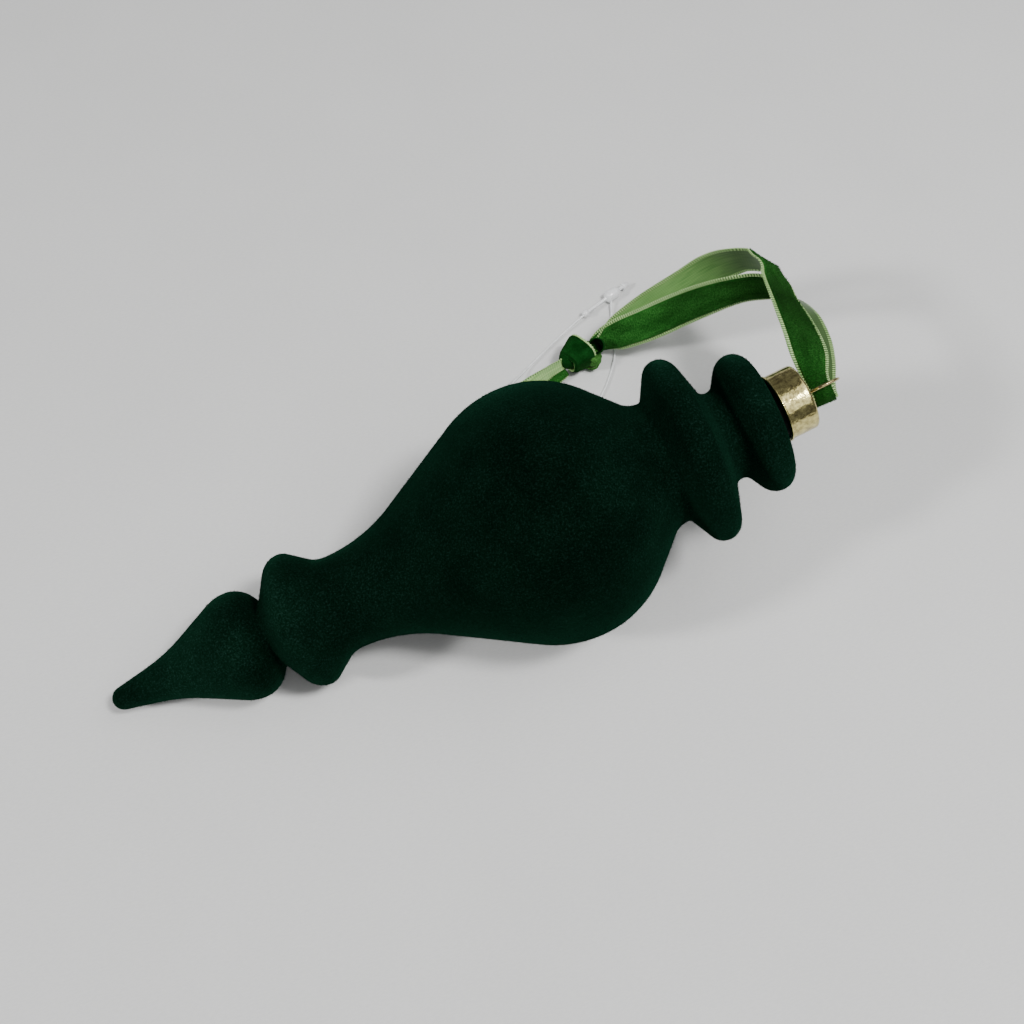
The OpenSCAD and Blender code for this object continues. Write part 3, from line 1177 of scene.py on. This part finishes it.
@dataclass
class VelvetRibbon:
    """One length of ribbon: doubled through the wire eye, tied in an overhand knot, with two short tails."""

    cloth: RibbonCloth = RibbonCloth()
    loop_stations: Sequence[Sequence[float]] = (
        (53.6, 56.2, 5.0, 0.00, 0.45, 0.89, 0.68),
        (59.0, 56.3, 7.4, 0.00, 0.46, 0.89, 0.92),
        (67.0, 52.8, 14.2, 0.10, 0.56, 0.82, 1.0),
        (75.8, 48.3, 23.3, 0.03, 0.38, 0.92, 1.0),
        (83.7, 43.2, 31.5, -0.14, 0.19, 0.97, 1.0),
        (90.0, 38.6, 35.8, -0.30, 0.20, 0.93, 1.0),
        (94.0, 33.0, 37.4, -0.70, 0.02, 0.71, 1.0),
        (93.6, 26.0, 39.0, -0.92, -0.04, 0.38, 1.0),
        (91.8, 18.0, 40.2, -0.97, 0.08, 0.21, 1.0),
        (89.2, 11.0, 40.9, -0.99, 0.00, 0.05, 0.94),
        (87.0, 5.6, 41.0, -0.98, 0.00, -0.15, 0.80),
        (86.1, 2.8, 41.0, -0.97, 0.00, -0.23, 0.74),
        (85.8, 1.1, 41.1, -0.97, 0.00, -0.23, 0.70),
        (85.4, -0.4, 41.8, -0.97, 0.00, -0.23, 0.66),
        (84.9, -0.9, 43.2, -0.97, 0.00, -0.23, 0.62),
        (84.5, -0.4, 44.6, -0.97, 0.00, -0.23, 0.59),
        (84.4, 1.1, 45.3, -0.97, 0.00, -0.23, 0.58),
        (84.3, 2.8, 45.4, -0.97, 0.00, -0.23, 0.57),
        (84.8, 5.8, 45.3, -0.98, 0.00, -0.15, 0.68),
        (86.5, 11.4, 45.0, -0.99, -0.02, 0.05, 0.94),
        (87.8, 17.4, 44.6, -0.97, 0.04, 0.22, 1.0),
        (88.6, 23.4, 44.2, -0.93, -0.03, 0.36, 1.0),
        (89.6, 30.2, 43.2, -0.82, -0.20, 0.52, 1.0),
        (91.4, 37.0, 41.3, -0.78, -0.25, 0.57, 1.0),
        (91.7, 41.8, 40.9, -0.62, -0.33, 0.71, 1.0),
        (91.1, 45.9, 37.9, -0.29, -0.06, 0.95, 1.0),
        (87.7, 49.2, 35.6, -0.25, 0.09, 0.96, 1.0),
        (83.4, 52.6, 30.4, -0.11, 0.26, 0.96, 1.0),
        (78.4, 55.0, 24.0, -0.09, 0.29, 0.95, 1.0),
        (69.0, 57.6, 14.2, -0.03, 0.36, 0.93, 1.0),
        (61.0, 58.3, 8.0, -0.02, 0.30, 0.95, 0.90),
        (54.8, 57.0, 4.6, 0.00, 0.30, 0.95, 0.46),
    )
    upper_tail: Sequence[Sequence[float]] = (
        (44.4, 54.8, 4.6, 0.10, 0.40, 0.91, 0.40),
        (39.6, 53.7, 4.3, 0.10, 0.45, 0.89, 0.42),
        (34.6, 51.5, 3.9, 0.10, 0.76, 0.64, 0.56),
        (28.0, 48.2, 2.3, -0.30, 0.95, 0.05, 0.80),
        (22.4, 44.8, 2.0, -0.40, 0.91, 0.05, 0.95),
    )
    lower_tail: Sequence[Sequence[float]] = (
        (44.6, 53.6, 2.6, -0.10, -0.80, -0.60, 0.36),
        (39.4, 51.4, 1.8, -0.10, -0.95, -0.30, 0.38),
        (34.0, 48.0, 1.0, -0.10, -0.97, -0.13, 0.56),
        (28.6, 44.0, 0.9, 0.40, -0.91, -0.03, 0.80),
        (24.6, 40.6, 0.8, 0.50, -0.86, 0.00, 0.95),
    )
    rolled: float = 7.0
    knot_centre: Sequence[float] = (49.2, 55.9, 4.9)
    knot_heading: float = 9.0
    wrap_lean: float = 19.0
    wrap_shift: float = -1.2
    wrap_radius: float = 3.7
    wrap_squash: float = 0.94
    wrap_flare: float = 0.28
    wrap_share: float = 0.74
    wrap_sweep: tuple[float, float, int] = (-200, 170, 25)
    wrap_selvedge: float = 0.8
    fold_at: Sequence[float] = (2.6, -2.2, -1.2)
    fold_radius: float = 2.3
    fold_turn: float = -48.0
    fold_share: float = 0.42
    fold_lining: float = 0.1
    fold_sweep: tuple[float, float, int] = (-50, 200, 18)
    fold_selvedge: float = 0.7
    core_around: int = 48
    hollow_around: int = 36
    filling_around: int = 32
    course_step: float = 1.0
    core_profile: Sequence[Point2] = (
        (-5.9, 0.0), (-5.7, 1.2), (-5.1, 2.1), (-4.2, 2.6), (-2.0, 3.0), (0.0, 3.3), (2.0, 3.2), (3.6, 2.5),
        (4.7, 1.5), (5.2, 0.0),
    )
    hollow_profile: Sequence[Point2] = (
        (0.0, 0.0), (0.2, 1.1), (1.0, 1.9), (2.3, 2.25), (2.6, 2.2), (2.65, 2.0), (2.3, 1.85), (1.2, 1.55),
        (0.6, 0.9), (0.45, 0.0),
    )
    hollow_at: Sequence[float] = (55.3, 56.0, 6.1)
    hollow_face: Sequence[float] = (-0.58, -0.42, 0.70)
    loop_fibres: int = 26000
    fibre_length: float = 0.42
    fibre_width: float = 0.07
    fibre_lean: float = 0.3
    place_seed: int = 5
    lean_seed: int = 3
    # Painted shade along the loop's satin back: from the far corner round the wire eye and back, the satin is
    # painted darker.
    satin_painted_shading: Sequence[Point2] = (
        (0.0, 1.0), (0.26, 1.0), (0.30, 0.32), (0.56, 0.32), (0.76, 0.32), (0.85, 0.92), (1.0, 1.0),
    )
    # Painted light and shade along the loop's pile: some stretches are painted lighter, others darker, by share
    # of its length.
    pile_painted_shading: Sequence[Point2] = (
        (0.0, 0.6), (0.08, 1.0), (0.14, 0.6), (0.2, 0.65), (0.26, 0.35), (0.48, 0.4), (0.52, 0.8),
        (0.56, 0.45), (0.64, 0.25), (0.69, 0.65), (1.0, 0.6),
    )
    loop_run: float = 20.93

    @property
    def rib(self) -> float:
        """The distance between two ribs of the selvedge in widths of the ribbon."""
        return self.cloth.rib_pitch / self.cloth.width

    def finishes(self) -> list[Material]:
        """Make the ribbon's materials.

        Returns:
            The materials, in the order of its zones.
        """
        selvedge = WovenFinish((0.20, 0.38, 0.11), (0.50, 0.70, 0.31), 0.4, (0.12, 0.20, 0.09), self.rib)
        # The satin back carries painted shade along the loop.
        satin = WovenFinish((0.12, 0.28, 0.075), (0.24, 0.44, 0.14), 0.38, (0.8, 0.86, 0.8), self.rib,
                            self.satin_painted_shading, self.loop_run)
        return [
            # The loop's pile carries painted light and shade along its length.
            PileFinish(painted_shading=self.pile_painted_shading, run=self.loop_run).build("velvet_pile"),
            selvedge.build("velvet_selvedge"),
            satin.build("satin_back"),
        ]

    def wrap_stations(self) -> list[list[float]]:
        """The turn of ribbon that is laid round the knot, with its left edge tucked in.

        Returns:
            Its stations.
        """
        ahead, beside = level_pair(self.knot_heading + self.wrap_lean)
        centre = np.array(self.knot_centre) + self.wrap_shift * level_pair(self.knot_heading)[0]
        rows = []
        for angle in np.radians(np.linspace(*self.wrap_sweep)):
            rise, reach = math.cos(angle), math.sin(angle)
            radial = rise * UP + reach * beside
            slack = self.wrap_radius / (abs(rise / self.wrap_squash) ** 3 + abs(reach) ** 3) ** (1 / 3)
            rows.append([*(centre + slack * radial), *(-ahead - self.wrap_flare * radial), self.wrap_share])
        return rows

    def fold_stations(self) -> list[list[float]]:
        """The fold of ribbon that stands out beside the wrap.

        Returns:
            Its stations.
        """
        ahead, beside = level_pair(self.knot_heading)
        along, across, rise = self.fold_at
        middle = np.array(self.knot_centre) + along * ahead + across * beside + rise * UP
        outward, sideways = level_pair(self.knot_heading + self.fold_turn)
        rows = []
        for angle in np.radians(np.linspace(*self.fold_sweep)):
            place = middle + self.fold_radius * (math.cos(angle) * UP + math.sin(angle) * outward)
            rows.append([*place, *sideways, self.fold_share])
        return rows

    def build(self) -> list[Piece]:
        """Returns:
            The pieces.
        """
        finishes = self.finishes()
        loop = self.cloth.band("velvet_loop", self.loop_stations, self.rolled)
        give_finish(loop, *finishes)
        seat(loop, Body.RIBBON, Slot.RIBBON, "ribbon_loop")
        places = self.cloth.pile_samples(self.loop_stations, self.rolled, self.loop_fibres, self.place_seed)
        nap = fibres("velvet_nap", *places, self.fibre_length, self.fibre_width, self.fibre_lean,
                     self.lean_seed)
        give_finish(nap, finishes[0])
        seat(nap, Body.RIBBON, Slot.RIBBON)
        knot = self.build_knot(finishes)
        tails = self.build_tails(finishes)
        course = self.cloth.frames(self.loop_stations, self.course_step)[0] * MM
        return [loop, nap, knot, tails]

    def build_knot(self, finishes: Sequence[Material]) -> Piece:
        """Lay the wrap and the fold round a core of gathered ribbon.

        Args:
            finishes: The ribbon's materials.

        Returns:
            The knot.
        """
        ahead, beside = map(Vector, level_pair(self.knot_heading))
        core = Axis(self.knot_centre, ahead, beside).turn("velvet_knot", self.core_profile, self.core_around)
        # The knot's pile is a darker copy of the loop's pile: painted shade.
        gathered = GatheredFinish().build("knot_pile")
        give_finish(core, gathered)
        hollow = self.build_hollow(gathered)
        fold = self.build_fold(finishes[2])
        cloth = replace(self.cloth, selvedge=self.wrap_selvedge, tucked=True)
        wrap = cloth.band("knot_wrap", self.wrap_stations())
        give_finish(wrap, gathered, *finishes[1:])
        join_into(core, [*fold, wrap, hollow])
        return seat(core, Body.RIBBON, Slot.RIBBON, "ribbon_knot")

    def build_hollow(self, gathered: Material) -> Piece:
        """Turn the mouth that the wrap leaves open, with painted shade inside.

        Args:
            gathered: The finish of its outside.

        Returns:
            The hollow.
        """
        face = Vector(self.hollow_face)
        side = face.cross(Vector(level_pair(self.knot_heading)[0])).normalized()
        axis = Axis(self.hollow_at, face.normalized(), side)
        hollow = axis.turn("knot_hollow", self.hollow_profile, self.hollow_around)
        # A near-black copy of the knot's pile on the inner faces: painted shade in the mouth.
        shaded = GatheredFinish(deep=(0.0006, 0.005, 0.0006), light=(0.003, 0.020, 0.003), sheen_weight=0.01)
        give_finish(hollow, gathered, shaded.build("knot_hollow"))
        for facet in hollow.data.polygons:
            away = (facet.center / MM - Vector(self.hollow_at)).cross(face).cross(-face)
            facet.material_index = int(facet.normal.dot(away) < 0)
        return hollow

    def build_fold(self, satin: Material) -> list[Piece]:
        """Weave the fold and fill it.

        Args:
            satin: The finish of its back.

        Returns:
            The fold and its filling.
        """
        # A lighter copy of the knot's pile on the fold: painted light.
        turned = GatheredFinish(deep=(0.012, 0.06, 0.008), light=(0.09, 0.26, 0.055), sheen_weight=0.14)
        finish = turned.build("knot_turn")
        stations = self.fold_stations()
        fold = replace(self.cloth, selvedge=self.fold_selvedge).band("knot_fold", stations)
        give_finish(fold, finish, finish, satin)
        rows = np.array(stations)
        half = 0.5 * self.cloth.width * self.fold_share
        radius = self.fold_radius - self.fold_lining
        rim = [(half * s, radius * r) for s, r in arc_points((0.0, 0.0), 1.0, 180, 0, 12)]
        rim[0], rim[-1] = (-half, 0.0), (half, 0.0)
        filling = Axis(rows[:, :3].mean(0), rows[0, 3:6], UP).turn("fold_filling", rim, self.filling_around)
        give_finish(filling, finish)
        return [fold, filling]

    def build_tails(self, finishes: Sequence[Material]) -> Piece:
        """Weave the two short ends.

        Args:
            finishes: The ribbon's materials.

        Returns:
            The tails, joined.
        """
        upper = self.cloth.band("velvet_tails", self.upper_tail)
        lower = self.cloth.band("lower_tail", self.lower_tail)
        # The upper tail's satin is a lighter copy of the satin back: painted light.
        painted_light_satin = WovenFinish((0.20, 0.40, 0.12), (0.46, 0.66, 0.28), 0.32, (0.78, 0.84, 0.75), self.rib)
        give_finish(upper, *finishes[:2], painted_light_satin.build("satin_tail"))
        give_finish(lower, *finishes)
        join_into(upper, [lower])
        return seat(upper, Body.RIBBON, Slot.RIBBON, "ribbon_tails")


def join_into(piece: Piece, others: Iterable[Piece]) -> None:
    """Join meshes into one object.

    Args:
        piece: The object that stays.
        others: The objects that go into it.
    """
    take_up(piece)
    for other in others:
        other.select_set(True)
    bpy.ops.object.join()


# Tag loop


@dataclass
class TagLoop:
    """The clear nylon loop: a thread with a lock of a bead, a rod, a socket and a barb."""

    thread: float = 0.6
    course: Sequence[Sequence[float]] = (
        (65.9, 72.6, 1.4), (65.0, 70.4, 1.0), (63.4, 66.0, 0.6), (61.8, 61.0, 0.5), (60.4, 56.4, 0.5),
        (56.8, 50.4, 0.5), (51.6, 44.2, 0.5), (46.0, 39.4, 0.5), (39.0, 36.0, 0.5), (33.0, 35.6, 0.7),
        (28.0, 36.6, 2.4), (24.2, 41.4, 3.8), (24.8, 47.8, 4.4), (29.2, 54.0, 3.2), (34.0, 58.0, 1.2),
        (40.0, 61.8, 0.8), (47.0, 65.8, 0.8), (53.0, 68.8, 1.2), (56.6, 70.4, 1.6),
    )
    lock_at: Sequence[float] = (57.2, 70.7, 1.7)
    lock_heading: float = 21.5
    bead: float = 1.05
    rod: float = 0.5
    socket_at: float = 8.0
    socket_length: float = 5.0
    socket: float = 1.65
    barb_at: float = 14.4
    barb_length: float = 2.4
    barb: float = 1.0
    around: int = 40
    crease: float = 50.0
    thread_step: float = 0.8
    thread_bevel: int = 3

    def lock_profile(self) -> list[Point2]:
        """The lock's outline along its own axis.

        Returns:
            Stations and radii from the bead to the barb's point.
        """
        neck = math.degrees(math.asin(self.rod / self.bead))
        end = self.socket_at + self.socket_length
        outline = arc_points((0.0, 0.0), self.bead, 180, neck, 12)
        outline += [
            (self.socket_at - 0.5, self.rod),
            (self.socket_at - 0.1, self.rod + 0.15),
            (self.socket_at, self.socket - 0.7),
            (self.socket_at + 0.25, self.socket - 0.25),
            (self.socket_at + 0.6, self.socket),
            (end - 1.5, self.socket),
            (end - 1.1, self.socket - 0.1),
            (end - 0.3, self.socket - 0.7),
            (end, self.socket - 0.95),
            (end + 0.1, self.rod),
            (self.barb_at, self.rod),
            (self.barb_at + 0.05, self.barb - 0.1),
            (self.barb_at + 0.2, self.barb),
            (self.barb_at + 0.6, self.barb - 0.1),
            (self.barb_at + self.barb_length - 0.2, 0.3),
            (self.barb_at + self.barb_length, 0.0),
        ]
        outline[0] = (-self.bead, 0.0)
        return outline

    def build(self) -> list[Piece]:
        """Returns:
            The pieces.
        """
        finish = NylonFinish().build("clear_nylon")
        axis = Axis(self.lock_at, *level_pair(self.lock_heading))
        lock = axis.turn("clear_lock", self.lock_profile(), self.around)
        bpy.ops.object.shade_smooth_by_angle(angle=math.radians(self.crease))
        give_finish(lock, finish)
        seat(lock, Body.RIBBON, Slot.NYLON, "tag_lock")
        line = smooth_rows(self.course, self.thread_step) * MM
        thread = tube("clear_thread", line, self.thread / 2 * MM, self.thread_bevel)
        give_finish(thread, finish)
        seat(thread, Body.RIBBON, Slot.NYLON, "tag_thread")
        return [thread, lock]


# Studio


@dataclass
class Studio:
    """The camera at the photograph's place, a pale floor and soft light."""

    azimuth: float = -19.911
    elevation: float = 61.327
    distance: float = 273.65
    target: Sequence[float] = (12.43, 8.19, 20.0)
    focal_px: float = 1150.0
    floor_side: float = 6.0
    clip: Point2 = (0.01, 20.0)
    lamps: Sequence[tuple[str, Sequence[float], Sequence[float], Point2, float]] = (
        ("key", (0.29, -0.27, 0.85), (0.02, 0.02, 0.0), (0.15, 0.15), 5.8),
        ("strip", (0.25, -0.12, 0.52), (0.10, 0.0, 0.0), (0.9, 0.5), 2.1),
        ("window", (-0.98, -0.07, 0.73), (0.02, 0.02, 0.0), (0.15, 0.15), 9.4),
    )
    surround: Sequence[float] = (0.95, 0.97, 1.0, 1.0)
    surround_strength: float = 0.18

    def place_camera(self) -> None:
        """Make the camera."""
        a, e = math.radians(self.azimuth), math.radians(self.elevation)
        back = Vector((math.sin(a) * math.cos(e), -math.cos(a) * math.cos(e), math.sin(e)))
        right = Vector((math.cos(a), math.sin(a), 0))
        upward = back.cross(right)
        data = bpy.data.cameras.new("camera")
        data.sensor_width = SENSOR_MM
        data.lens = SENSOR_MM * self.focal_px / IMAGE_SIDE
        data.clip_start, data.clip_end = self.clip
        camera = bpy.data.objects.new("camera", data)
        turned = Matrix((right, upward, back)).transposed().to_4x4()
        turned.translation = (Vector(self.target) + self.distance * back) * MM
        camera.matrix_world = turned
        bpy.context.scene.collection.objects.link(camera)
        bpy.context.scene.camera = camera

    def lay_floor(self) -> None:
        """Make the floor."""
        bpy.ops.object.select_all(action="DESELECT")
        bpy.ops.mesh.primitive_plane_add(size=self.floor_side, location=(0, 0, 0))
        floor = bpy.context.object
        floor.name = "floor"
        give_finish(floor, FloorFinish().build("pale_cloth"))

    def hang_light(self, name: str, place: Sequence[float], aim: Sequence[float], sides: Point2,
                   power: float) -> None:
        """Add an oblong soft light.

        Args:
            name: Its name.
            place: Where it is, in metres.
            aim: Where it points.
            sides: Its length and its width.
            power: Its power in watts.
        """
        data = bpy.data.lights.new(name, "AREA")
        data.shape = "RECTANGLE"
        data.size, data.size_y = sides
        data.energy = power
        lamp = bpy.data.objects.new(name, data)
        lamp.location = place
        lamp.rotation_mode = "QUATERNION"
        lamp.rotation_quaternion = (Vector(aim) - Vector(place)).to_track_quat("-Z", "Y")
        bpy.context.scene.collection.objects.link(lamp)

    def light(self) -> None:
        """Add the soft lights and an even surround."""
        for lamp in self.lamps:
            self.hang_light(*lamp)
        world = bpy.data.worlds.new("studio")
        world.use_nodes = True
        backdrop = world.node_tree.nodes["Background"]
        backdrop.inputs["Color"].default_value = self.surround
        backdrop.inputs["Strength"].default_value = self.surround_strength
        bpy.context.scene.world = world


def main() -> None:
    """Build the scene in order: camera and cords, body, cap and wire, floor and light."""
    logging.basicConfig(level=logging.INFO, format="%(name)s: %(message)s")
    studio = Studio()
    studio.place_camera()
    body = FlockedBody()
    for assembly in (VelvetRibbon(), TagLoop(), body, SprungCap(body.cap_axis)):
        for piece in assembly.build():
            LOG.info("%s: %d faces on %s", piece.name, len(piece.data.polygons), type(assembly).__name__)
    studio.lay_floor()
    studio.light()


if __name__ == "__main__":
    main()
